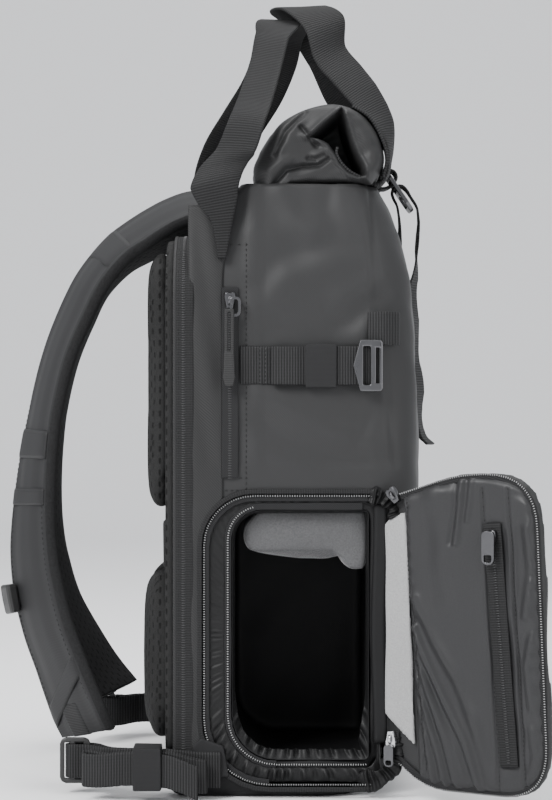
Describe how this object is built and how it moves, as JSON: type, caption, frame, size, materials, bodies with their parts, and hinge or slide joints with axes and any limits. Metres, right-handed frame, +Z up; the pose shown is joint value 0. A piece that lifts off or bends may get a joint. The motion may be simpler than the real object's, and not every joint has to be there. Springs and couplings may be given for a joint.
{
  "type": "camera backpack",
  "caption": "Roll-top camera backpack standing on its base, with two carry handles, padded shoulder straps and a zipped side door open on a padded camera bay.",
  "frame": {"origin": "middle of the flat base that the pack stands on", "axes": "+Z up, +X to the pack's front away from the wearer, -Y to the side with the camera door"},
  "size_m": [0.37, 0.3705, 0.5362],
  "materials": {
    "coated": "matt coated cloth",
    "base": "dull padded black cloth",
    "twill": "fine diagonal weave",
    "mesh": "spacer mesh over foam",
    "webbing": "ribbed webbing",
    "lining": "soft sheen nylon",
    "zip": "zip tape with a coil",
    "plush": "short pile",
    "pale_plush": "short pale pile",
    "plastic": "moulded",
    "rubber": "cord and moulded grip",
    "hardware": "satin gunmetal",
    "silver": "bright"
  },
  "bodies": {
    "pack": {"body_shell": "coated", "base_tub": "base", "back_gusset": "twill", "back_panel": "twill", "back_zip": "zip", "back_pad_upper": "mesh", "back_pad_lower": "mesh", "luggage_band": "twill", "roll_top": "coated", "handle_back": "webbing", "handle_front": "webbing", "closure_hook": "hardware", "closure_loop": "webbing", "closure_strap": "webbing", "side_web": "webbing", "side_web_tail": "webbing", "side_keeper": "webbing", "side_hook": "hardware", "corner_loop": "webbing", "pocket_zip": "zip", "pocket_slider": "hardware", "pocket_ring": "hardware", "pocket_pull": "rubber", "shoulder_pad_left": "mesh", "strap_bar_left": "webbing", "strap_label_band_left": "webbing", "strap_low_band_left": "webbing", "strap_toe_band_left": "webbing", "sternum_clip_left": "plastic", "shoulder_pad_right": "mesh", "strap_bar_right": "webbing", "strap_label_band_right": "webbing", "strap_low_band_right": "webbing", "strap_toe_band_right": "webbing", "sternum_clip_right": "plastic", "lower_tab_left": "webbing", "lower_web_left": "webbing", "web_keeper_left": "webbing", "buckle_left": "plastic", "lower_tab_right": "webbing", "lower_web_right": "webbing", "web_keeper_right": "webbing", "buckle_right": "plastic", "camera_cube": "base", "bay_lining": "lining", "bay_zip": "zip", "cube_zip": "zip", "divider_pad": "plush", "door_panel": "coated", "door_lining": "lining", "hinge_plush": "pale_plush", "door_zip": "zip", "door_pocket_zip": "zip", "door_pocket_slider": "hardware", "door_slider_low": "silver", "door_low_tab": "hardware", "door_slider_high": "hardware"},
    "pocket_tab": {"door_pocket_tab": "hardware"}
  },
  "joints": [
    {"name": "tab_flip", "type": "hinge", "parent": "pack", "child": "pocket_tab", "pos_m": [0.12407, -0.19026, 0.1756], "axis": [-0.8387, 0.5446, 0], "range_deg": [0, 150]}
  ]
}
